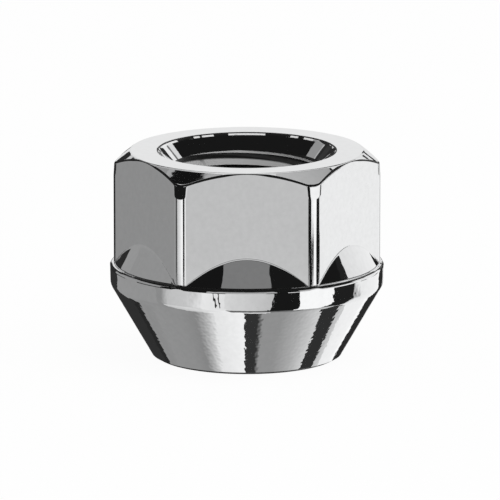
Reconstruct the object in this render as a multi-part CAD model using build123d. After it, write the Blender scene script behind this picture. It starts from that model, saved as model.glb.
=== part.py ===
"""Open-ended wheel lug nut: hexagon head, flared collar and conical seat.

One forged, turned and plated piece. The axis is Z, the seat end stands at
Z = 0 with its cone pointing down, and a flat of the hexagon faces -Y.
Millimetres and degrees.
"""

from build123d import *
import math
import os

# Thread: the bore has the wall of the thread's minor diameter
thread_diameter = 12.0
thread_pitch = 1.5

# Hexagon and its turned crown
nut_height = 16.9
across_flats = 19.0
hexagon_corner_radius = 1.2
crown_face_diameter = 18.84
crown_angle = 38.0
crown_face_rounding = 0.35
crown_edge_rounding = 0.2

# Collar, with the flare that carries the hexagon down to the ledge on its top
collar_diameter = 22.2
collar_height = 1.65
collar_ledge = 0.42
collar_top_rounding = 0.3
collar_bottom_rounding = 1.0
flare_angle = 28.0
flare_foot_rounding = 0.1

# Conical seat, included angle. The land is the flat ring round its mouth
seat_angle = 60.0
seat_end_diameter = 15.2
seat_end_chamfer = 0.25
seat_end_land = 1.1

# Countersinks at both mouths of the bore, included angle
countersink_angle = 82.0
top_mouth_diameter = 14.2
mouth_chamfer = 0.12

# Sizes that follow from those above
sharp_thread_height = thread_pitch * math.sqrt(3) / 2
minor_radius = thread_diameter / 2 - sharp_thread_height * 5 / 8
flat_distance = across_flats / 2
corner_reach = (flat_distance - hexagon_corner_radius) / math.cos(math.pi / 6) + hexagon_corner_radius

collar_radius = collar_diameter / 2
seat_slope = math.tan(math.radians(seat_angle / 2))
seat_height = (collar_radius - seat_end_diameter / 2) / seat_slope
collar_top = seat_height + collar_height

flare_slope = math.tan(math.radians(flare_angle))
flare_foot_radius = collar_radius - collar_ledge
flare_hidden_depth = 0.3

# The ledge has room for a rounding at its rim and a hollow at the flare's foot
rim_share = 0.8
hollow_share = 0.25
rim_rounding = min(collar_top_rounding, rim_share * collar_ledge)
hollow_rounding = min(flare_foot_rounding, hollow_share * collar_ledge)

crown_slope = math.tan(math.radians(crown_angle))
crown_face_radius = crown_face_diameter / 2
blank_radius = corner_reach + hexagon_corner_radius
blank_shoulder = nut_height - (blank_radius - crown_face_radius) * crown_slope

countersink_slope = math.tan(math.radians(countersink_angle / 2))


def turned(corners):
    """Turn a closed profile about Z. A corner is (radius, height, rounding)."""
    profile = make_face(Polyline([(radius, height) for radius, height, _ in corners], close=True))
    for radius, height, rounding in corners:
        if rounding > 0:
            corner = profile.vertices().sort_by_distance((radius, height, 0))[0]
            profile = fillet(corner, rounding)
    return revolve(Plane.XZ * profile, Axis.Z)


def hexagon_head():
    """The hexagonal bar, with rounded corners, turned to a crown at its free end."""
    section = RegularPolygon(flat_distance, 6, major_radius=False)
    section = fillet(section.vertices(), hexagon_corner_radius)
    bar = Pos(0, 0, seat_height) * extrude(section, nut_height - seat_height)
    crown = turned([
        (0, 0, 0),
        (blank_radius, 0, 0),
        (blank_radius, blank_shoulder, 0),
        (crown_face_radius, nut_height, crown_face_rounding),
        (0, nut_height, 0),
    ])
    return bar & crown


def crown_edges(head):
    """The chain of arcs where the crown's cone cuts the flats and corners."""
    on_cone = head.faces().filter_by(GeomType.CONE)
    cone = on_cone.sort_by(Axis.Z)[-1]
    below_face = nut_height - (flat_distance - crown_face_radius) * crown_slope / 2
    return cone.edges().filter_by(lambda edge: edge.center().Z < below_face)


def seat_and_collar():
    """The conical seat, the collar and the flare that rises into the hexagon."""
    flare_top_radius = flat_distance - flare_hidden_depth
    flare_top = collar_top + (flare_foot_radius - flare_top_radius) / flare_slope
    return turned([
        (0, 0, 0),
        (seat_end_diameter / 2, 0, 0),
        (collar_radius, seat_height, collar_bottom_rounding),
        (collar_radius, collar_top, rim_rounding),
        (flare_foot_radius, collar_top, hollow_rounding),
        (flare_top_radius, flare_top, 0),
        (0, flare_top, 0),
    ])


def threaded_bore():
    """What is cut away for the stud: a through bore, countersunk at both ends."""
    top_mouth_radius = top_mouth_diameter / 2
    seat_mouth_radius = seat_end_diameter / 2 - seat_end_land
    return turned([
        (0, 0, 0),
        (seat_mouth_radius, 0, 0),
        (minor_radius, (seat_mouth_radius - minor_radius) / countersink_slope, 0),
        (minor_radius, nut_height - (top_mouth_radius - minor_radius) / countersink_slope, 0),
        (top_mouth_radius, nut_height, 0),
        (0, nut_height, 0),
    ])


def mouth_edges(nut):
    """The rims where the two countersinks meet the end faces."""
    ends = [nut.faces().sort_by(Axis.Z)[-1], nut.faces().sort_by(Axis.Z)[0]]
    return [end.edges().sort_by(SortBy.RADIUS)[0] for end in ends]


def seat_end_edge(nut):
    """The outer rim of the seat's small end."""
    end = nut.faces().sort_by(Axis.Z)[0]
    return end.edges().sort_by(SortBy.RADIUS)[-1]


head = hexagon_head()
head = fillet(crown_edges(head), crown_edge_rounding)
lug_nut = head + seat_and_collar() - threaded_bore()
lug_nut = chamfer(mouth_edges(lug_nut), mouth_chamfer)
lug_nut = chamfer(seat_end_edge(lug_nut), seat_end_chamfer)

os.makedirs("parts", exist_ok=True)
export_step(lug_nut, "parts/lug_nut.step")
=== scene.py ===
"""Chrome-plated wheel lug nut, standing on its seat end in a small photo studio."""

import math

import bmesh
import bpy
from bpy.props import FloatProperty, FloatVectorProperty, PointerProperty
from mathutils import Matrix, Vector


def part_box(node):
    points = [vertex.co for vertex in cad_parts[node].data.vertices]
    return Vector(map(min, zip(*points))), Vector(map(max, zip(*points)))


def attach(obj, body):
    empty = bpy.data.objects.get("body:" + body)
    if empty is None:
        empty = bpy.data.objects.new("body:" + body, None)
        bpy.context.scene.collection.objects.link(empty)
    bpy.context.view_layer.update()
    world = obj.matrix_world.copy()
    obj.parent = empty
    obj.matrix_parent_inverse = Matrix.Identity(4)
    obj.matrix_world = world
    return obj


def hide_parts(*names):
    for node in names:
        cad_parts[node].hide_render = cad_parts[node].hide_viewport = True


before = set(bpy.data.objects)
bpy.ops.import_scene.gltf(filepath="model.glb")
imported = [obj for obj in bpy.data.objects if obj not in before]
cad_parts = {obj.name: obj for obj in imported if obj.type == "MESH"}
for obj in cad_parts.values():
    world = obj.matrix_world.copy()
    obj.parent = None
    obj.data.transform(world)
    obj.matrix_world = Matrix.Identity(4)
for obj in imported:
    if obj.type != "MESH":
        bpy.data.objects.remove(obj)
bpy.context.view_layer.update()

bl_info = {
    "name": "Lug Nut",
    "version": (1, 0, 0),
    "blender": (4, 5, 0),
    "location": "View3D > Sidebar > Lug Nut",
    "description": "Builds a plated lug nut with its stud thread, and the studio it is shown in",
    "category": "Object",
}

NODE = "lug_nut"
BODY = "root"
NODE_LOW, NODE_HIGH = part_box(NODE)
MM = 0.001
SIDES = 6
FULL_TURN = 2 * math.pi

# How finely the nut is drawn round its axis
FLAT_COLUMNS = 44
CORNER_COLUMNS = 14
COLUMNS = SIDES * (FLAT_COLUMNS + CORNER_COLUMNS)
# Share of a flat's columns that crowd towards its two corners
CROWDING = 0.7
# Steps of each corner in the section: a plain corner, a chamfer and the roundings
PLAIN = 0
CHAMFER = 1
FACE_STEPS = 4
CROWN_STEPS = 5
HOLLOW_STEPS = 5
COLLAR_STEPS = 6
# A point so far before and after each corner keeps the sides flat. A face counts as
# lying on a surface when it is this close to it
EDGE_GUARD = 0.01 * MM
# Share of a side that the roundings of its two ends may take
SIDE_SHARE = 0.95

# The bar that cuts the thread: its steps in a turn, the slope of its flanks, half its
# width at the root as a share of the pitch, and how far it reaches inside the crests
THREAD_STEPS = 96
FLANK_ANGLE = math.radians(30)
HALF_ROOT_SHARE = 1 / 16
CUTTER_OVERLAP = 0.25 * MM
# Its turns beyond the nut's height, the turns that are left when it begins the one with
# the uppermost root, and the part of a turn from its start to the back of the nut
SPARE_TURNS = 3
TOP_TURNS = 2
BACK_TURN = 0.25

# Height over which one finish changes into another
FINISH_BLEND = 0.05 * MM
# Tilts of the faces that carry the painted shade, a near-black coat standing in for shade.
# A tilt is nothing for an upright face and 90 degrees for one that looks straight up
CROWN_EDGE_TILTS = (math.radians(10), math.radians(42))
LEDGE_TILT = math.radians(45)
SEAT_END_TILT = math.radians(40)
FLANK_TILT = math.radians(50)
# The faces of the thread's roots tilt less than this
ROOT_TILT = math.radians(20)
# Two faces that turn by more than this meet in a sharp edge
SHARP_ANGLE = math.radians(18)
# Bearings from the front to the right, in degrees, between which painted shade covers the
# whole ledge. Elsewhere it keeps to the faces that tilt less than the limit
PAINTED_SHADE_LEDGE = (-57, 19)
LEVEL_LEDGE_TILT = math.radians(62)
# Arcs of the mouth's rim that get painted highlights, in degrees from the back to the right,
# and the arc within which painted shade covers the rest of it
PAINTED_SHADE_RIM = (-52, 45)
PAINTED_HIGHLIGHT_ARCS = ((-67, -52), (-38, -33), (-31, -22), (-12.5, 12), (30, 36), (41, 49))


def length(name, description, default):
    """A size in metres that the sidebar shows in the scene's unit."""
    return FloatProperty(name=name, description=description, default=default, min=0.0,
                         precision=5, unit="LENGTH")


def angle(name, description, degrees):
    """An angle that is written here in degrees."""
    return FloatProperty(name=name, description=description, default=math.radians(degrees),
                         subtype="ANGLE")


def share(name, description, default):
    """A plain number from nothing to one."""
    return FloatProperty(name=name, description=description, default=default, min=0.0,
                         max=1.0, subtype="FACTOR")


def waves(name, description, default):
    """How many waves a noise has in one metre."""
    return FloatProperty(name=name, description=description, default=default, min=0.0)


def colour(name, description, default):
    """A plain colour without its alpha."""
    return FloatVectorProperty(name=name, description=description, default=default,
                               size=len(default), min=0.0, max=1.0, subtype="COLOR")


class NutSizes(bpy.types.PropertyGroup):
    """The sizes of the forged and turned nut."""

    height: length("Height", "From the seat end to the crown", NODE_HIGH.z - NODE_LOW.z)
    across_flats: length("Across flats", "Width of the hexagon", 19 * MM)
    corner_radius: length("Corner radius", "Rounding of the hexagon's corners", 1.2 * MM)
    corner_top_radius: length("Corner top radius", "Rounding of the corners at the crown",
                              1.6 * MM)
    corner_spread: length("Corner spread", "How far below the crown the corners spread", 1.0 * MM)
    corner_easing: length("Corner easing", "Rounding where a corner begins to spread", 4.0 * MM)
    crown_face: length("Crown face", "Diameter of the flat top", 18.84 * MM)
    crown_angle: angle("Crown angle", "Slope of the turned crown", 38)
    crown_face_rounding: length("Face rounding", "Where the flat top meets the crown", 0.35 * MM)
    crown_edge_rounding: length("Crown rounding", "Where the crown cuts the hexagon", 0.3 * MM)
    collar: length("Collar", "Diameter of the collar", NODE_HIGH.x - NODE_LOW.x)
    collar_height: length("Collar height", "Height of the collar's rim", 1.65 * MM)
    collar_draft: angle("Collar draft", "How far the collar's side leans in to the seat", 1.5)
    collar_ledge: length("Collar ledge", "Width of the ledge between flare and rim", 0.42 * MM)
    collar_top_rounding: length("Collar top rounding", "Upper edge of the collar", 0.3 * MM)
    collar_low_rounding: length("Collar low rounding", "Lower edge of the collar", 1.0 * MM)
    flare_angle: angle("Flare angle", "Slope of the flare from the axis", 28)
    flare_foot_rounding: length("Flare foot", "Hollow where the flare meets the ledge", 0.1 * MM)
    arch_rounding: length("Arch rounding", "Hollow where the flare meets a flat", 0.5 * MM)
    seat_angle: angle("Seat angle", "Whole angle of the conical seat", 60)
    seat_end: length("Seat end", "Diameter of the small end of the seat", 15.2 * MM)
    seat_end_chamfer: length("Seat end chamfer", "Edge at the seat's small end", 0.25 * MM)
    countersink_angle: angle("Countersink angle", "Whole angle of both countersinks", 82)
    top_mouth: length("Top mouth", "Diameter of the bore's mouth in the crown", 14.2 * MM)
    seat_mouth: length("Seat mouth", "Diameter of the bore's mouth in the seat end", 13 * MM)
    mouth_chamfer: length("Mouth chamfer", "Edge of the seat end's mouth", 0.12 * MM)
    mouth_wear: length("Mouth wear", "Width of the shallow bevel round the top mouth",
                       0.2 * MM)
    mouth_wear_angle: angle("Mouth wear angle", "Slope of that bevel", 35)
    rim_chamfer: length("Rim chamfer", "Edge between that bevel and the countersink", 0.09 * MM)


class ThreadSizes(bpy.types.PropertyGroup):
    """The right-hand stud thread inside the nut."""

    diameter: length("Thread diameter", "Diameter over the thread's roots", 12 * MM)
    pitch: length("Pitch", "Rise of the thread in one turn", 1.5 * MM)
    root_clearance: length("Root clearance", "How far the roots lie beyond the stud", 0.1 * MM)
    first_root: length("First root", "Depth of the uppermost root at the back", 1.41 * MM)
    # Painted shade covers the thread nearer the crown than this depth
    bright_depth: length("Bright depth", "Depth at the back where the bright steel begins",
                         1.9 * MM)


# Spans of the noise over which each finish goes from its one look to its other
HAZE_SPAN = (0.35, 0.7)
CLOUD_SPAN = (0.3, 0.7)
STEEL_SPAN = (0.3, 0.45)
PAINTED_SHADE_SPAN = (0.3, 0.7)
RIM_SPAN = (0.26, 0.34)
# How metallic the thread's steel and the rim's painted highlights look, with their painted shade
STEEL_METALLIC = 0.3
RIM_METALLIC = 0.1


class PlatingLook(bpy.types.PropertyGroup):
    """The chrome plating, the bare steel in the bore, and the painted shade and highlights."""

    chrome: colour("Chrome", "Colour of the plating", (0.88, 0.885, 0.89))
    clouding: share("Clouding", "How far the plating's brightness varies in patches", 0.028)
    cloud_scale: waves("Cloud scale", "Those patches in one metre", 2400)
    polish: share("Polish", "Roughness of the plating at its best", 0.02)
    haze: share("Haze", "Roughness of the plating at its dullest", 0.05)
    haze_scale: waves("Haze scale", "Dull patches in one metre", 260)
    bulge_width: length("Bulge width", "Width of the soft bulges below the ledge", 2.6 * MM)
    bulge_depth: length("Bulge depth", "Height of the soft bulges on the collar", 0.17 * MM)
    bulge_stretch: FloatProperty(name="Bulge stretch",
                                 description="How many times taller than wide the bulges are",
                                 default=1.8, min=1.0)
    seat_share: share("Seat bulges", "Height of the seat's bulges, as a share", 0.12)
    mark_width: length("Mark width", "Width of the fine marks of polishing", 0.28 * MM)
    mark_depth: length("Mark depth", "Height of the fine marks", 0.004 * MM)
    streak_length: FloatProperty(name="Streak length",
                                 description="How many times longer than wide the hexagon's marks are",
                                 default=10.0, min=1.0)
    streak_share: share("Streak depth", "Depth of the hexagon's marks, as a share", 0.4)
    steel: colour("Thread steel", "Colour of the cut thread", (0.6, 0.6, 0.6))
    steel_polish: share("Steel polish", "Roughness of the cut thread at its best", 0.3)
    steel_haze: share("Steel haze", "Roughness of the cut thread at its dullest", 0.5)
    grain_scale: waves("Grain scale", "Grains of the cut thread in one metre", 900)
    # Painted highlights: the pale colour of the patches on the mouth's rim and the thread's roots
    painted_highlight: colour("Bare metal", "Colour of the rim where it is worn", (0.95, 0.95, 0.95))
    painted_highlight_roughness: share("Bare roughness", "Roughness of the worn rim", 0.4)
    # Patches of painted highlight on the rim and roots, and of bare steel among painted shade in the
    # bore
    bright_patch_scale: waves("Patch scale", "Worn patches in one metre", 650)
    # Painted shade: a near-black colour standing in for shade and dark reflections on edges and in
    # hollows
    painted_shade: colour("Film", "Colour of the film in hollows and edges", (0.008, 0.008, 0.008))
    painted_shade_polish: share("Film polish", "Roughness of the film at its best", 0.2)
    painted_shade_haze: share("Film haze", "Roughness of the film at its dullest", 0.45)
    painted_shade_scale: waves("Film scale", "Dull patches of the film in one metre", 1500)
    painted_shade_gloss: share("Film gloss", "Strength of the film's reflections", 0.15)


class StudioLook(bpy.types.PropertyGroup):
    """The floor, the lamp and the camera."""

    floor: colour("Floor", "Colour of the floor", (0.93, 0.93, 0.93))
    floor_width: length("Floor width", "Side of the square floor", 4.0)
    floor_whitening: share("Floor whitening", "Share of plain white the camera sees", 0.95)
    card_distance: length("Card distance", "From the nut to the cards round it", 4.0)
    ambient: FloatProperty(name="Ambient", description="Light of the white surroundings",
                           default=0.8, min=0.0)
    lamp_power: FloatProperty(name="Lamp", description="Power of the soft lamp",
                              default=2.0, min=0.0, unit="POWER")
    lamp_width: length("Lamp width", "Side of the square soft lamp", 0.6)
    view_height: angle("View height", "How far the camera looks down", 12.28)
    view_distance: length("View distance", "From the camera to the nut", 0.6426)
    pixels_per_mm: FloatProperty(name="Pixels per millimetre",
                                 description="Scale of the picture at the nut", default=12.343)


# The curve between a card's tone in the picture and its strength
SRGB_OFFSET = 0.055
SRGB_GAMMA = 2.4
LAMP_PLACE = (0.25, -0.2, 0.7)
CLIP_START = 0.01
CLIP_END = 10.0
SENSOR_WIDTH = 36.0
PICTURE_WIDTH = 500
# Where the nut's axis and the middle of the picture fall
AXIS_PIXEL_X = 246.9
MIDDLE_HEIGHT = 8.611 * MM

# Cards round the nut. The bearing starts behind the nut and runs to its left,
# its front and its right; the height is above the horizon, both in degrees.
# Each card has a tone, from black to white, at its first and at its last bearing,
# and leans by so many degrees of bearing between its lower and its upper edge.
# A later card stands in front of an earlier one.
# Each card is nearer to the nut than the one before by CARD_GAP of the distance, and is
# drawn in steps of about CARD_STEP degrees.
CARD_GAP = 0.0015
CARD_STEP = 2.0
# Azimuth of the bearing behind the nut, in degrees
BEHIND = 90
# A vertex that rounding puts this little before a card's first side is on that side
SIDE_GUARD = 0.01
CARDS = (
    # ground, seen in the seat
    ("back left ground flag", (8, 45), (-60, -14), (0.15, 0.15), 0),
    ("left ground edge", (45, 58), (-80, -18), (0.53, 0.55), 0),
    ("left ground", (58, 86), (-80, -18), (0.56, 0.55), 0),
    ("left ground's end", (86, 102), (-80, -18), (0.55, 0.52), 0),
    ("left ground's bright side", (102, 125), (-80, -18), (0.53, 0.88), 0),
    ("front left ground", (125, 175), (-90, -18), (0.89, 0.94), 0),
    ("front ground flag", (175, 200), (-80, -66), (0.19, 0.19), 0),
    ("front ground flag's edge", (200, 208), (-80, -66), (0.24, 0.54), 0),
    ("front right ground", (208, 236), (-90, -18), (0.56, 0.56), 0),
    ("front right ground's bright side", (236, 262), (-90, -18), (0.56, 0.66), 0),
    ("right ground's bright side", (262, 283.5), (-70, -18), (0.66, 0.82), 0),
    ("right ground edge", (291, 308), (-60, -18), (0.63, 0.82), 0),
    ("right ground flag", (281.5, 299), (-60, -43), (0.18, 0.18), 0),
    ("right ground", (308, 333), (-60, -18), (0.82, 0.93), 0),
    ("back right ground flag", (330.5, 352), (-46, -14), (0.20, 0.20), 0),
    # under the collar
    ("collar lower line", (163, 243), (-56, -38), (0.39, 0.39), 0),
    ("collar foot, left", (104, 163), (-58, -14), (0.75, 0.93), -10),
    # level row, seen in the collar
    ("level left flag", (4, 38), (-40, -4), (0.18, 0.18), 0),
    ("level left card's foot", (46, 95), (-40, -30), (0.55, 0.55), 0),
    ("level left card", (38, 95), (-30, -4), (0.57, 0.57), 0),
    ("level left card's end", (95, 105), (-40, -4), (0.54, 0.54), 0),
    ("level left card's shoulder", (105, 117), (-26, -4), (0.55, 0.74), 0),
    ("level left card's bright side", (117, 129), (-26, -4), (0.74, 0.77), 0),
    ("level front left's edge", (129, 136), (-40, -4), (0.78, 0.90), 0),
    ("level front left", (136, 165), (-40, -4), (0.90, 0.87), 0),
    ("hair line", (151, 152.6), (-20, -12.5), (0.12, 0.12), 0),
    ("second hair line", (156, 158), (-20, -12.5), (0.12, 0.12), 0),
    ("level front", (165, 202), (-38, -4), (0.83, 0.73), 0),
    ("level front right flag", (202, 224), (-46, -4), (0.09, 0.09), 0),
    ("level front right", (224, 259), (-46, -4), (0.97, 0.97), 0),
    ("level right flag", (259, 285), (-42, -4), (0.12, 0.12), 0),
    ("level right card", (285, 290), (-43, -4), (0.59, 0.91), 0),
    ("level right", (290, 326), (-43, -4), (0.91, 0.94), 0),
    ("level right end", (326, 331), (-46, -4), (0.97, 0.97), 0),
    ("level back right flag", (331, 346), (-40, -4), (0.16, 0.16), 0),
    # walls, seen in the flare
    ("wall, back left flag", (12.5, 37), (-9, 12.8), (0.16, 0.16), 0),
    ("wall, left crown", (16, 54.2), (13, 62), (0.78, 0.62), 0),
    ("back ground", (335, 390), (-70, -40), (0.55, 0.55), 0),
    ("wall, left flag", (24, 44), (12.8, 20), (0.20, 0.20), 0),
    ("wall, left flag above", (28, 42), (20, 36), (0.16, 0.16), 0),
    ("rim left flag", (56, 84), (29, 48), (0.09, 0.09), 0),
    ("wall, left", (37, 104), (-4, 14), (0.58, 0.56), 0),
    ("wall, left side", (44, 104), (14, 50), (0.56, 0.56), 0),
    ("wall, left upper flag", (54, 100), (35, 56), (0.09, 0.09), 0),
    ("wall, front left flag", (103.5, 154.5), (0, 50), (0.08, 0.08), 0),
    ("wall, front left", (143, 160), (-4, 30), (0.73, 0.65), 0),
    ("wall, front foot", (154.5, 204.5), (-9, 2), (0.78, 0.77), 0),
    ("wall, front line", (154.5, 204.5), (2, 16), (0.55, 0.55), 0),
    ("wall, front halo", (154.5, 204.5), (16, 32), (0.77, 0.75), 0),
    ("wall, front shade", (154.5, 204.5), (32, 38.5), (0.27, 0.27), 0),
    ("wall, front", (154.5, 204.5), (38.5, 48), (0.47, 0.47), 0),
    ("wall, front right", (204.5, 258), (-4, 30), (0.69, 0.69), 0),
    ("ledge rim's flag", (204.5, 224), (-4, 30), (0.09, 0.09), 0),
    ("wall, front right flag", (204.5, 258), (30, 50), (0.09, 0.09), 0),
    ("wall, right flag", (253, 284.5), (10, 50), (0.13, 0.13), 0),
    ("wall, right", (284.5, 334), (-4, 24), (0.86, 0.93), 0),
    ("wall, back right flag", (332, 346), (-4, 5), (0.10, 0.10), 0),
    ("wall, right upper flag", (240, 312), (26, 47), (0.09, 0.09), 0),
    # ceiling
    ("ceiling, front flag", (90, 272), (48, 89), (0.09, 0.09), 0),
    ("ceiling, front right flag", (272, 285), (46, 62), (0.09, 0.09), 0),
    ("ceiling, left flag", (54.2, 66), (46, 74), (0.07, 0.07), 0),
    ("ceiling, left edge", (66, 90), (60, 78), (0.65, 0.65), 0),
    ("ceiling, right", (285, 330), (47, 76), (0.73, 0.55), 0),
    ("mouth's left flag", (331, 341), (6, 14), (0.16, 0.16), 0),
    ("mouth's left card", (323, 331), (13.5, 20), (0.90, 0.90), 0),
    ("mouth's left shade", (319.5, 323), (19, 22.5), (0.45, 0.45), 0),
    ("mouth's left end", (312.5, 319.5), (21, 28), (0.84, 0.84), 0),
    ("top card", (354, 366), (9, 14), (0.88, 0.88), 0),
    ("rim flag", (335, 385), (24, 40), (0.10, 0.10), 0),
    ("right crown's flag", (341.5, 347.5), (5, 14), (0.06, 0.06), 8),
    # level row for the hexagon's corners
    ("left flat's card", (55, 66), (-12.5, -9), (0.54, 0.55), 0),
    ("front flat's card", (172, 191), (-12.5, -9), (0.74, 0.74), 0),
    ("right flat's card", (292, 310), (-12.5, -9), (0.91, 0.92), 0),
    ("left edge", (20, 55), (-12.36, -6), (0.14, 0.14), 0),
    ("corner left shade", (86, 101), (-12.5, -11), (0.29, 0.29), 0),
    ("corner left card", (101, 149), (-12.5, -11), (0.75, 1.00), 0),
    ("corner front left flag", (149, 162.5), (-12.5, -11), (0.08, 0.08), 0),
    ("corner front left card", (162.5, 172), (-12.5, -11), (0.94, 0.88), 0),
    ("corner front flag", (191, 203), (-12.5, -11), (0.08, 0.08), 0),
    ("corner front flag's foot", (203, 235), (-12.5, -12.08), (0.08, 0.08), 0),
    ("corner right card", (214, 259), (-12.08, -11), (0.97, 0.97), 0),
    ("corner right flag's foot", (257.5, 297), (-12.5, -12.08), (0.08, 0.08), 0),
    ("corner right flag", (284, 291), (-12.5, -11), (0.07, 0.07), 0),
    ("left corner's top flag", (74, 165), (-11, 2), (0.09, 0.09), 0),
    ("right corner's top flag", (194, 212), (-11, -1), (0.08, 0.08), 0),
    ("right corner's top", (212, 291), (-11, 0), (0.94, 0.94), 0),
    ("right edge's top flag", (308, 316), (-11, -2), (0.10, 0.10), 9),
    ("right corner's far flag", (291, 299), (-11.6, -6), (0.08, 0.08), 0),
)


def rounded(corners):
    """Points of a closed outline. A corner is (x, y, size, steps).

    Its size is the radius of an arc in so many steps, or the length of a chamfer.
    Two corners that need more than the side between them share it. Every corner
    that isn't plain has a guard point just before and just after it.
    """
    places = [Vector(corner[:2]) for corner in corners]
    sides = [here - places[index - 1] for index, here in enumerate(places)]
    after = sides[1:] + sides[:1]
    turns = [side.angle(next_side) / 2 for side, next_side in zip(sides, after)]
    wanted = [size if steps == CHAMFER else size * math.tan(turn)
              for (_, _, size, steps), turn in zip(corners, turns)]
    guarded = [reach + EDGE_GUARD for reach in wanted]
    shares = [min(1.0, SIDE_SHARE * side.length / (guarded[index - 1] + guarded[index]))
              for index, side in enumerate(sides)]
    points = []
    for index, (here, (_, _, _, steps)) in enumerate(zip(places, corners)):
        if steps == PLAIN:
            points.append(here)
            continue
        fitting = min(shares[index], shares[(index + 1) % len(shares)])
        reach = max(wanted[index], EDGE_GUARD) * fitting
        guard = EDGE_GUARD * fitting
        back, onward = -sides[index].normalized(), after[index].normalized()
        first, last = here + back * reach, here + onward * reach
        points.append(first + back * guard)
        for step in range(steps + 1):
            done = step / steps
            left, right = (1 - done) ** 2, done ** 2
            middle = 2 * math.cos(turns[index]) * done * (1 - done)
            points.append((left * first + middle * here + right * last) / (left + middle + right))
        points.append(last + onward * guard)
    return points


def column_azimuth(sizes, column):
    """Azimuth of one column of points round the nut, closer together at the corners."""
    side, place = divmod(column, FLAT_COLUMNS + CORNER_COLUMNS)
    inner = sizes.across_flats / 2 - sizes.corner_radius
    half_flat = inner * math.tan(math.pi / SIDES)
    if place < FLAT_COLUMNS:
        even = 2 * place / FLAT_COLUMNS - 1
        crowded = math.sin(even * math.pi / 2)
        out = sizes.across_flats / 2
        along = half_flat * (even + CROWDING * (crowded - even))
    else:
        swing = FULL_TURN / SIDES * (place - FLAT_COLUMNS) / CORNER_COLUMNS
        out = inner + sizes.corner_radius * math.cos(swing)
        along = half_flat + sizes.corner_radius * math.sin(swing)
    return FULL_TURN / SIDES * side - math.pi / 2 + math.atan2(along, out)


def hexagon_reach(sizes, azimuth, corner_radius):
    """Distance from the axis to the hexagon's wall, its corners rounded."""
    apothem = sizes.across_flats / 2
    inner = apothem - corner_radius
    half_side = math.pi / SIDES
    turned = (azimuth + math.pi / 2 + half_side) % (2 * half_side) - half_side
    if apothem * math.tan(abs(turned)) <= inner * math.tan(half_side):
        return apothem / math.cos(turned)
    centre = inner / math.cos(half_side)
    aside = half_side - abs(turned)
    return (centre * math.cos(aside)
            + math.sqrt(corner_radius ** 2 - (centre * math.sin(aside)) ** 2))


def collar_top(sizes):
    """Height of the ledge on the collar."""
    foot = (sizes.collar - sizes.seat_end) / 2 / math.tan(sizes.seat_angle / 2)
    return foot + sizes.collar_height


def collar_foot(sizes):
    """Radius and height where the seat's cone meets the collar's drafted side."""
    cone, draft = math.tan(sizes.seat_angle / 2), math.tan(sizes.collar_draft)
    above = (sizes.collar - sizes.seat_end) / 2 - collar_top(sizes) * draft
    height = above / (cone - draft)
    return sizes.seat_end / 2 + height * cone, height


def thread_minor_radius(thread):
    """Radius over the crests, which cut off the sharp profile at five eighths of it."""
    sharp_height = thread.pitch * math.sqrt(3) / 2
    return thread.diameter / 2 - sharp_height * 5 / 8


def thread_root_radius(thread):
    """Radius over the roots of the internal thread."""
    return thread.diameter / 2 + thread.root_clearance


def nut_section(sizes, thread, wall, crown_wall):
    """The section on one side of the axis, where the hexagon's wall stands at wall.

    Just under the crown the wall leans in to crown_wall, which is less at a corner.

    The outline runs from the wall's top over the crown, down the bore, under
    the seat end, up the seat and collar, and up the flare back to the wall.
    """
    crown_slope = math.tan(sizes.crown_angle)
    sink_slope = math.tan(sizes.countersink_angle / 2)
    flare_slope = math.tan(sizes.flare_angle)
    top = sizes.height
    face, mouth = sizes.crown_face / 2, sizes.top_mouth / 2
    seat_mouth, seat_end = sizes.seat_mouth / 2, sizes.seat_end / 2
    collar = sizes.collar / 2
    bore, root = thread_minor_radius(thread), thread_root_radius(thread)
    worn = top - sizes.mouth_wear * math.tan(sizes.mouth_wear_angle)
    ledge = collar_top(sizes)
    flare_foot = collar - sizes.collar_ledge
    arch = ledge + (flare_foot - wall) / flare_slope
    # Where the wall of a corner reaches the flare's foot, only a sliver of the flare is left
    if wall > flare_foot - 3 * EDGE_GUARD:
        arch = ledge + 4 * EDGE_GUARD
        flare_foot = wall + EDGE_GUARD
    spread = top - (wall - face) * crown_slope - sizes.corner_spread
    return rounded([
        (crown_wall, top - (crown_wall - face) * crown_slope, sizes.crown_edge_rounding,
         CROWN_STEPS),
        (face, top, sizes.crown_face_rounding, FACE_STEPS),
        (mouth + sizes.mouth_wear, top, 0, CHAMFER),
        (mouth, worn, sizes.rim_chamfer, CHAMFER),
        (root, worn - (mouth - root) / sink_slope, 0, PLAIN),
        (bore, worn - (mouth - bore) / sink_slope, 0, PLAIN),
        (bore, (seat_mouth - bore) / sink_slope, 0, PLAIN),
        (seat_mouth, 0, sizes.mouth_chamfer, CHAMFER),
        (seat_end, 0, sizes.seat_end_chamfer, CHAMFER),
        (*collar_foot(sizes), sizes.collar_low_rounding, COLLAR_STEPS),
        (collar, ledge, sizes.collar_top_rounding, COLLAR_STEPS),
        (flare_foot, ledge, sizes.flare_foot_rounding, HOLLOW_STEPS),
        (wall, arch, sizes.arch_rounding, HOLLOW_STEPS),
        (wall, spread, sizes.corner_easing, CROWN_STEPS),
    ])


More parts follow.
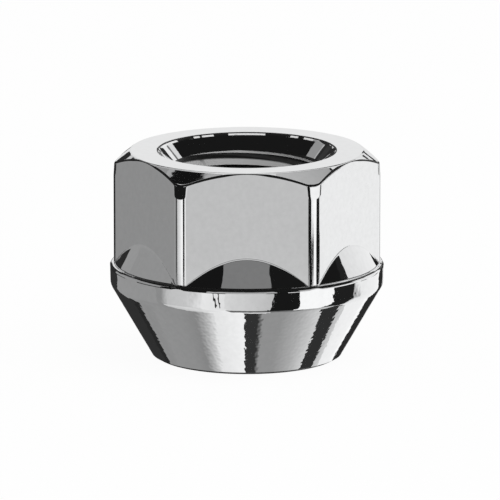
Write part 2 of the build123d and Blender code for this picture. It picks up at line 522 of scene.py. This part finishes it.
def turn_nut(sizes, thread):
    """The nut without its thread: one section spun, then drawn onto the hexagon."""
    azimuths = [column_azimuth(sizes, column) for column in range(COLUMNS)]
    sections = []
    for azimuth in azimuths:
        wall = hexagon_reach(sizes, azimuth, sizes.corner_radius)
        crown_wall = hexagon_reach(sizes, azimuth, sizes.corner_top_radius)
        sections.append(nut_section(sizes, thread, wall, crown_wall))
    bm = bmesh.new()
    ring_of = bm.verts.layers.int.new("ring")
    chain = []
    for ring, (radius, height) in enumerate(sections[0]):
        vert = bm.verts.new((radius, 0, height))
        vert[ring_of] = ring
        chain.append(vert)
    edges = [bm.edges.new((vert, chain[index - 1])) for index, vert in enumerate(chain)]
    bmesh.ops.spin(bm, geom=chain + edges, cent=(0, 0, 0), axis=(0, 0, 1), dvec=(0, 0, 0),
                   angle=FULL_TURN, steps=COLUMNS, use_merge=True, use_normal_flip=False,
                   use_duplicate=False)
    for vert in bm.verts:
        turned = math.atan2(vert.co.y, vert.co.x) % FULL_TURN
        column = round(turned / FULL_TURN * COLUMNS) % COLUMNS
        radius, height = sections[column][vert[ring_of]]
        azimuth = azimuths[column]
        vert.co = (radius * math.cos(azimuth), radius * math.sin(azimuth), height)
    bmesh.ops.recalc_face_normals(bm, faces=bm.faces)
    return bm


def thread_cutter(sizes, thread):
    """The helical groove between the crests, as a closed bar with a tapered section."""
    root = thread_root_radius(thread)
    inner = thread_minor_radius(thread) - CUTTER_OVERLAP
    root_half = thread.pitch * HALF_ROOT_SHARE
    inner_half = root_half + (root - inner) * math.tan(FLANK_ANGLE)
    turns = math.ceil(sizes.height / thread.pitch) + SPARE_TURNS
    # The root passes the back of the nut at the depth that was asked for
    rise = (turns - TOP_TURNS + BACK_TURN) * thread.pitch
    start = sizes.height - thread.first_root - rise
    bm = bmesh.new()
    section = [(inner, -inner_half), (root, -root_half), (root, root_half), (inner, inner_half)]
    chain = [bm.verts.new((radius, 0, start + height)) for radius, height in section]
    edges = [bm.edges.new((vert, chain[index - 1])) for index, vert in enumerate(chain)]
    bm.faces.new(chain)
    swept = bmesh.ops.spin(bm, geom=chain + edges, cent=(0, 0, 0), axis=(0, 0, 1),
                           dvec=(0, 0, thread.pitch / THREAD_STEPS), angle=FULL_TURN * turns,
                           steps=THREAD_STEPS * turns, use_merge=False,
                           use_normal_flip=False, use_duplicate=False)
    bm.faces.new([item for item in swept["geom_last"] if isinstance(item, bmesh.types.BMVert)])
    bmesh.ops.recalc_face_normals(bm, faces=bm.faces)
    return bm


def object_from(bm, name):
    """A new object in the scene from a bmesh, which is freed."""
    mesh = bpy.data.meshes.new(name)
    bm.to_mesh(mesh)
    bm.free()
    made = bpy.data.objects.new(name, mesh)
    bpy.context.scene.collection.objects.link(made)
    return made


def cut(piece, cutter):
    """Cuts the cutter out of the piece and removes the cutter."""
    modifier = piece.modifiers.new("cut", "BOOLEAN")
    modifier.operation = "DIFFERENCE"
    modifier.solver = "EXACT"
    modifier.object = cutter
    depsgraph = bpy.context.evaluated_depsgraph_get()
    result = bpy.data.meshes.new_from_object(piece.evaluated_get(depsgraph))
    piece.modifiers.clear()
    old = piece.data
    piece.data = result
    bpy.data.meshes.remove(old)
    bpy.data.objects.remove(cutter)


class Nodes:
    """A short way to add nodes to a material or a world and join them."""

    def __init__(self, owner):
        owner.use_nodes = True
        self.tree = owner.node_tree
        self.tree.nodes.clear()

    def add(self, kind, settings=None, **inputs):
        node = self.tree.nodes.new(kind)
        for name, value in (settings or {}).items():
            setattr(node, name, value)
        for name, value in inputs.items():
            self.put(node.inputs[name.replace("_", " ")], value)
        return node

    def put(self, socket, value):
        if isinstance(value, bpy.types.NodeSocket):
            self.tree.links.new(value, socket)
        else:
            socket.default_value = value

    def math(self, operation, *values):
        node = self.add("ShaderNodeMath", {"operation": operation})
        for socket, value in zip(node.inputs, values):
            self.put(socket, value)
        return node.outputs[0]

    def place(self):
        """Where a point lies on the object."""
        return self.add("ShaderNodeTexCoord").outputs["Object"]

    def noise(self, place, scale, detail):
        """A cloudy value about one half, with so many waves in one metre."""
        node = self.add("ShaderNodeTexNoise", Vector=place, Scale=scale, Detail=detail)
        return node.outputs["Fac"]

    def ramp(self, value, span, results):
        """The value drawn from one span onto another, and held at its ends."""
        node = self.add("ShaderNodeMapRange", Value=value, From_Min=span[0], From_Max=span[1],
                        To_Min=results[0], To_Max=results[1])
        return node.outputs["Result"]

    def mix(self, factor, first, second):
        """A colour between two. The node's colour sockets are its seventh and eighth."""
        node = self.add("ShaderNodeMix", {"data_type": "RGBA"})
        self.put(node.inputs[0], factor)
        node.inputs[6].default_value = (*first, 1.0)
        node.inputs[7].default_value = (*second, 1.0)
        return node.outputs[2]

    def surface(self, shader, output="ShaderNodeOutputMaterial"):
        """Ends the tree in this shader."""
        self.put(self.add(output).inputs["Surface"], shader.outputs[0])


def uneven(nodes, place, width, depth, strength, stretch=1.0, under=None):
    """Normal of marks so wide and so deep, drawn out along the axis, over others."""
    drawn = nodes.add("ShaderNodeMapping", Vector=place)
    drawn.inputs["Scale"].default_value = (1 / width, 1 / width, 1 / (width * stretch))
    relief = nodes.noise(drawn.outputs["Vector"], 1.0, 0.0)
    bump = nodes.add("ShaderNodeBump", Height=relief, Strength=strength, Distance=depth)
    if under:
        nodes.put(bump.inputs["Normal"], under)
    return bump.outputs["Normal"]


def chrome(look, sizes):
    """Bright plating, crisp on the hexagon and softly uneven on collar and seat."""
    material = bpy.data.materials.new("chrome")
    nodes = Nodes(material)
    place = nodes.place()
    level = nodes.add("ShaderNodeSeparateXYZ", Vector=place).outputs["Z"]
    ledge = collar_top(sizes)
    below = nodes.ramp(level, (ledge + FINISH_BLEND, ledge - FINISH_BLEND), (0, 1))
    above = nodes.math("SUBTRACT", 1.0, below)
    seat_top = collar_foot(sizes)[1]
    swell = nodes.ramp(level, (seat_top - FINISH_BLEND, seat_top + FINISH_BLEND),
                       (look.seat_share, 1))

    relief = uneven(nodes, place, look.bulge_width, look.bulge_depth,
                    nodes.math("MULTIPLY", below, swell), look.bulge_stretch)
    relief = uneven(nodes, place, look.mark_width, look.mark_depth, below, under=relief)
    relief = uneven(nodes, place, look.mark_width, look.mark_depth * look.streak_share, above,
                    look.streak_length, relief)

    dulled = nodes.ramp(nodes.noise(place, look.haze_scale, 3.0), HAZE_SPAN,
                        (look.polish, look.haze))
    clear = nodes.ramp(nodes.noise(place, look.cloud_scale, 3.0), CLOUD_SPAN, (0, 1))
    dim, bright = ([tone * (1 + side * look.clouding) for tone in look.chrome] for side in (-1, 1))
    nodes.surface(nodes.add("ShaderNodeBsdfPrincipled", Metallic=1.0, Roughness=dulled,
                            Base_Color=nodes.mix(clear, dim, bright), Normal=relief))
    return material


def thread_steel(look, sizes, thread):
    """Pale cut steel in patches, with painted shade between them and above a limit that climbs round
    the mouth with the thread.
    """
    material = bpy.data.materials.new("thread_steel")
    nodes = Nodes(material)
    place = nodes.place()
    dulled = nodes.ramp(nodes.noise(place, look.grain_scale, 4.0), (0, 1),
                        (look.steel_polish, look.steel_haze))
    bright = nodes.ramp(nodes.noise(place, look.bright_patch_scale, 1.0), STEEL_SPAN, (0, 1))
    split = nodes.add("ShaderNodeSeparateXYZ", Vector=place)
    leftward = nodes.math("MULTIPLY", split.outputs["X"], -1.0)
    turn = nodes.math("ARCTAN2", leftward, split.outputs["Y"])
    climb = nodes.math("MULTIPLY", turn, thread.pitch / FULL_TURN)
    level = nodes.math("SUBTRACT", split.outputs["Z"], climb)
    limit = sizes.height - thread.bright_depth
    below = nodes.ramp(level, (limit + FINISH_BLEND, limit - FINISH_BLEND), (0, 1))
    bare = nodes.math("MULTIPLY", bright, below)
    nodes.surface(nodes.add("ShaderNodeBsdfPrincipled", Metallic=STEEL_METALLIC, Roughness=dulled,
                            Base_Color=nodes.mix(bare, look.painted_shade, look.steel)))
    return material


def painted_shade_finish(look):
    """Painted shade: a near-black coat on the crown's edge, in the ledge's hollow and on other edges
    and flanks, standing in for shade and dark reflections.
    """
    material = bpy.data.materials.new("painted_shade_finish")
    nodes = Nodes(material)
    dulled = nodes.ramp(nodes.noise(nodes.place(), look.painted_shade_scale, 2.0), PAINTED_SHADE_SPAN,
                        (look.painted_shade_polish, look.painted_shade_haze))
    nodes.surface(nodes.add("ShaderNodeBsdfPrincipled", Base_Color=(*look.painted_shade, 1.0),
                            Roughness=dulled, Specular_IOR_Level=look.painted_shade_gloss))
    return material


def painted_highlight_and_shade(look):
    """Painted highlights: pale patches through painted shade on the sharp rim of the mouth and on the
    thread's roots.
    """
    material = bpy.data.materials.new("painted_highlight_and_shade")
    nodes = Nodes(material)
    bare = nodes.ramp(nodes.noise(nodes.place(), look.bright_patch_scale, 1.0), RIM_SPAN, (0, 1))
    nodes.surface(nodes.add("ShaderNodeBsdfPrincipled", Metallic=RIM_METALLIC,
                            Roughness=look.painted_highlight_roughness,
                            Base_Color=nodes.mix(bare, look.painted_shade, look.painted_highlight)))
    return material


def bore_finish(thread, out, tilt):
    """In the bore the flanks get painted shade, the roots painted highlights in patches, and the
    crests cut steel with painted shade in places.
    """
    if abs(tilt) > FLANK_TILT:
        return "painted_shade_finish"
    on_root = out > thread_root_radius(thread) - EDGE_GUARD and abs(tilt) < ROOT_TILT
    return "painted_highlight_and_shade" if on_root else "thread_steel"


def crown_finish(sizes, centre, out, tilt):
    """The crown's outer edge gets a line of painted shade, and so does the bevel of the mouth, whose
    rim has painted highlights in arcs.
    """
    if out > sizes.crown_face / 2 - EDGE_GUARD:
        return "painted_shade_finish" if CROWN_EDGE_TILTS[0] < tilt < CROWN_EDGE_TILTS[1] else "chrome"
    mouth = sizes.top_mouth / 2
    below_face = centre.z < sizes.height - EDGE_GUARD
    if below_face and abs(out - mouth) < sizes.rim_chamfer / 2:
        turn = math.degrees(math.atan2(centre.x, centre.y))
        if any(first < turn < last for first, last in PAINTED_HIGHLIGHT_ARCS):
            return "painted_highlight_and_shade"
        return "painted_shade_finish" if PAINTED_SHADE_RIM[0] < turn < PAINTED_SHADE_RIM[1] else "chrome"
    on_bevel = below_face and mouth < out < mouth + sizes.mouth_wear
    return "painted_shade_finish" if on_bevel else "chrome"


def ledge_finish(sizes, centre, tilt):
    """The ledge's steeper faces get painted shade all round, and its level ones along one arc at the
    front.
    """
    on_ledge = tilt > LEDGE_TILT and centre.z > collar_top(sizes) - sizes.collar_top_rounding
    if on_ledge and tilt > LEVEL_LEDGE_TILT:
        turn = math.degrees(math.atan2(centre.x, -centre.y))
        on_ledge = PAINTED_SHADE_LEDGE[0] < turn < PAINTED_SHADE_LEDGE[1]
    return "painted_shade_finish" if on_ledge else "chrome"


def finish_of(sizes, thread, face):
    """Which of the nut's finishes lies on a face, from where it is and how it tilts."""
    centre = face.center
    out = math.hypot(*centre.xy)
    tilt = math.asin(max(-1.0, min(1.0, face.normal.z)))
    if out < thread_root_radius(thread) + EDGE_GUARD:
        return bore_finish(thread, out, tilt)
    if centre.z < sizes.seat_end_chamfer:
        # Painted shadow: the seat end's chamfer turns near-black where the nut stands on the floor
        in_painted_shade = tilt < -SEAT_END_TILT and out > sizes.seat_mouth / 2
        return "painted_shade_finish" if in_painted_shade else "chrome"
    if centre.z > (collar_top(sizes) + sizes.height) / 2:
        return crown_finish(sizes, centre, out, tilt)
    return ledge_finish(sizes, centre, tilt)


def finish_nut(piece, sizes, thread, look):
    """Gives each face its material and sets which edges are sharp."""
    mesh = piece.data
    mesh.materials.clear()
    finishes = (chrome(look, sizes), thread_steel(look, sizes, thread), painted_shade_finish(look),
                painted_highlight_and_shade(look))
    for finish in finishes:
        mesh.materials.append(finish)
    names = [finish.name for finish in finishes]
    for face in mesh.polygons:
        face.material_index = names.index(finish_of(sizes, thread, face))
    mesh.shade_smooth()
    mesh.set_sharp_from_angle(angle=SHARP_ANGLE)


class LUGNUT_OT_nut(bpy.types.Operator):
    """Build the nut, cut its stud thread and plate it"""

    bl_idname = "lugnut.nut"
    bl_label = "Nut"

    def execute(self, context):
        scene = context.scene
        sizes, thread, look = scene.nut_sizes, scene.nut_thread, scene.nut_plating
        piece = object_from(turn_nut(sizes, thread), "plated_nut")
        cutter = object_from(thread_cutter(sizes, thread), "thread_cutter")
        cut(piece, cutter)
        finish_nut(piece, sizes, thread, look)
        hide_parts(NODE)
        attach(piece, BODY)
        return {"FINISHED"}


def glow_of(tone, tint):
    """Strength of a card that shows with this sRGB tone in metal of this tint."""
    return ((tone + SRGB_OFFSET) / (1 + SRGB_OFFSET)) ** SRGB_GAMMA / tint


def card_mesh(distance, tint):
    """All cards in one mesh: each an arc of height spun through its bearings."""
    bm = bmesh.new()
    glow = bm.verts.layers.float.new("glow")
    for order, (_, side, height, tones, lean) in enumerate(CARDS):
        first, last = (math.radians(bearing + BEHIND) for bearing in side)
        low, high = (math.radians(value) for value in height)
        reach = distance * (1 - CARD_GAP * order)
        rows = math.ceil((height[1] - height[0]) / CARD_STEP)
        steps = math.ceil((side[1] - side[0]) / CARD_STEP)
        chain = []
        # The layer first holds how far up the card a vertex is, then its glow
        for row in range(rows + 1):
            done = row / rows
            rise = low + (high - low) * done
            begin = first + math.radians(lean) * done
            level = reach * math.cos(rise)
            vert = bm.verts.new((level * math.cos(begin), level * math.sin(begin),
                                 reach * math.sin(rise)))
            vert[glow] = done
            chain.append(vert)
        edges = [bm.edges.new(pair) for pair in zip(chain, chain[1:])]
        before = len(bm.verts) - len(chain)
        bmesh.ops.spin(bm, geom=chain + edges, cent=(0, 0, 0), axis=(0, 0, 1),
                       dvec=(0, 0, 0), angle=last - first, steps=steps, use_merge=False,
                       use_normal_flip=False, use_duplicate=False)
        bm.verts.ensure_lookup_table()
        for vert in bm.verts[before:]:
            begin = first + math.radians(lean) * vert[glow]
            swing = (math.atan2(vert.co.y, vert.co.x) - begin) % FULL_TURN
            if swing > FULL_TURN - SIDE_GUARD:
                swing = 0.0
            tone = tones[0] + (tones[1] - tones[0]) * min(1.0, swing / (last - first))
            vert[glow] = glow_of(tone, tint)
    return bm


def card_material():
    """Each card glows as brightly as its glow attribute says."""
    material = bpy.data.materials.new("card")
    nodes = Nodes(material)
    glow = nodes.add("ShaderNodeAttribute", {"attribute_name": "glow"})
    nodes.surface(nodes.add("ShaderNodeEmission", Strength=glow.outputs["Fac"]))
    material.cycles.emission_sampling = "NONE"
    return material


def add_cards(studio, look):
    """Reflector cards and flags that only the polished metal sees."""
    tint = sum(look.chrome) / len(look.chrome)
    cards = object_from(card_mesh(studio.card_distance, tint), "studio_cards")
    cards.location.z = MIDDLE_HEIGHT
    cards.data.materials.append(card_material())
    cards.visible_camera = False
    cards.visible_diffuse = False
    cards.visible_shadow = False
    cards.visible_transmission = False
    cards.visible_volume_scatter = False


def add_floor(studio):
    """A plain pale floor that keeps the nut's soft shadow."""
    bm = bmesh.new()
    bmesh.ops.create_grid(bm, x_segments=1, y_segments=1, size=studio.floor_width / 2)
    floor = object_from(bm, "floor")
    floor.visible_glossy = False
    material = bpy.data.materials.new("floor")
    nodes = Nodes(material)
    matte = nodes.add("ShaderNodeBsdfDiffuse", Color=(*studio.floor, 1.0))
    white = nodes.add("ShaderNodeEmission", Strength=1.0)
    path = nodes.add("ShaderNodeLightPath")
    seen = nodes.math("MULTIPLY", path.outputs["Is Camera Ray"], studio.floor_whitening)
    mix = nodes.add("ShaderNodeMixShader", Fac=seen)
    nodes.put(mix.inputs[1], matte.outputs["BSDF"])
    nodes.put(mix.inputs[2], white.outputs["Emission"])
    nodes.surface(mix)
    floor.data.materials.append(material)


def add_light(studio):
    """White surroundings and one large soft lamp, above and to the right."""
    world = bpy.data.worlds.new("white_surroundings")
    bpy.context.scene.world = world
    nodes = Nodes(world)
    path = nodes.add("ShaderNodeLightPath")
    seen = nodes.math("MAXIMUM", path.outputs["Is Camera Ray"], path.outputs["Is Glossy Ray"])
    seen = nodes.math("MAXIMUM", seen, path.outputs["Is Transmission Ray"])
    strength = nodes.ramp(seen, (0, 1), (studio.ambient, 1.0))
    nodes.surface(nodes.add("ShaderNodeBackground", Strength=strength), "ShaderNodeOutputWorld")

    lamp = bpy.data.lights.new("soft_lamp", "AREA")
    lamp.energy = studio.lamp_power
    lamp.shape = "SQUARE"
    lamp.size = studio.lamp_width
    holder = bpy.data.objects.new("soft_lamp", lamp)
    holder.location = LAMP_PLACE
    holder.rotation_mode = "QUATERNION"
    holder.rotation_quaternion = holder.location.to_track_quat("Z", "Y")
    holder.visible_glossy = False
    bpy.context.scene.collection.objects.link(holder)


def add_camera(studio):
    """The camera stands in front of a flat and looks a little down on the nut."""
    scale = studio.pixels_per_mm / MM
    camera = bpy.data.cameras.new("camera")
    camera.sensor_width = SENSOR_WIDTH
    camera.lens = SENSOR_WIDTH * scale * studio.view_distance / PICTURE_WIDTH
    camera.clip_start = CLIP_START
    camera.clip_end = CLIP_END
    holder = bpy.data.objects.new("camera", camera)
    aside = (PICTURE_WIDTH / 2 - AXIS_PIXEL_X) / scale
    back = Vector((0, -math.cos(studio.view_height), math.sin(studio.view_height)))
    holder.location = Vector((aside, 0, MIDDLE_HEIGHT)) + back * studio.view_distance
    holder.rotation_mode = "QUATERNION"
    holder.rotation_quaternion = back.to_track_quat("Z", "Y")
    bpy.context.scene.collection.objects.link(holder)
    bpy.context.scene.camera = holder


class LUGNUT_OT_stage(bpy.types.Operator):
    """Set up the floor, the light, the cards and the camera"""

    bl_idname = "lugnut.stage"
    bl_label = "Stage"

    def execute(self, context):
        studio = context.scene.nut_studio
        add_floor(studio)
        add_light(studio)
        add_cards(studio, context.scene.nut_plating)
        add_camera(studio)
        context.scene.view_settings.view_transform = "Standard"
        return {"FINISHED"}


class LUGNUT_PT_panel(bpy.types.Panel):
    """Shows the nut's sizes, thread, finishes and studio, with the buttons that build them"""

    bl_idname = "LUGNUT_PT_panel"
    bl_label = "Lug Nut"
    bl_space_type = "VIEW_3D"
    bl_region_type = "UI"
    bl_category = "Lug Nut"

    def draw(self, context):
        for title, group in PROPERTY_GROUPS.items():
            box = self.layout.box()
            box.label(text=title.replace("_", " ").title())
            values = getattr(context.scene, title)
            for name in group.__annotations__:
                box.prop(values, name)
        for operator in OPERATORS:
            self.layout.operator(operator.bl_idname)


PROPERTY_GROUPS = {
    "nut_sizes": NutSizes,
    "nut_thread": ThreadSizes,
    "nut_plating": PlatingLook,
    "nut_studio": StudioLook,
}
OPERATORS = (LUGNUT_OT_nut, LUGNUT_OT_stage)


def register():
    for title, group in PROPERTY_GROUPS.items():
        bpy.utils.register_class(group)
        setattr(bpy.types.Scene, title, PointerProperty(type=group))
    for cls in (*OPERATORS, LUGNUT_PT_panel):
        bpy.utils.register_class(cls)


def unregister():
    for cls in (LUGNUT_PT_panel, *reversed(OPERATORS)):
        bpy.utils.unregister_class(cls)
    for title, group in PROPERTY_GROUPS.items():
        delattr(bpy.types.Scene, title)
        bpy.utils.unregister_class(group)


def main():
    register()
    bpy.ops.lugnut.nut()
    bpy.ops.lugnut.stage()


if __name__ == "__main__":
    main()
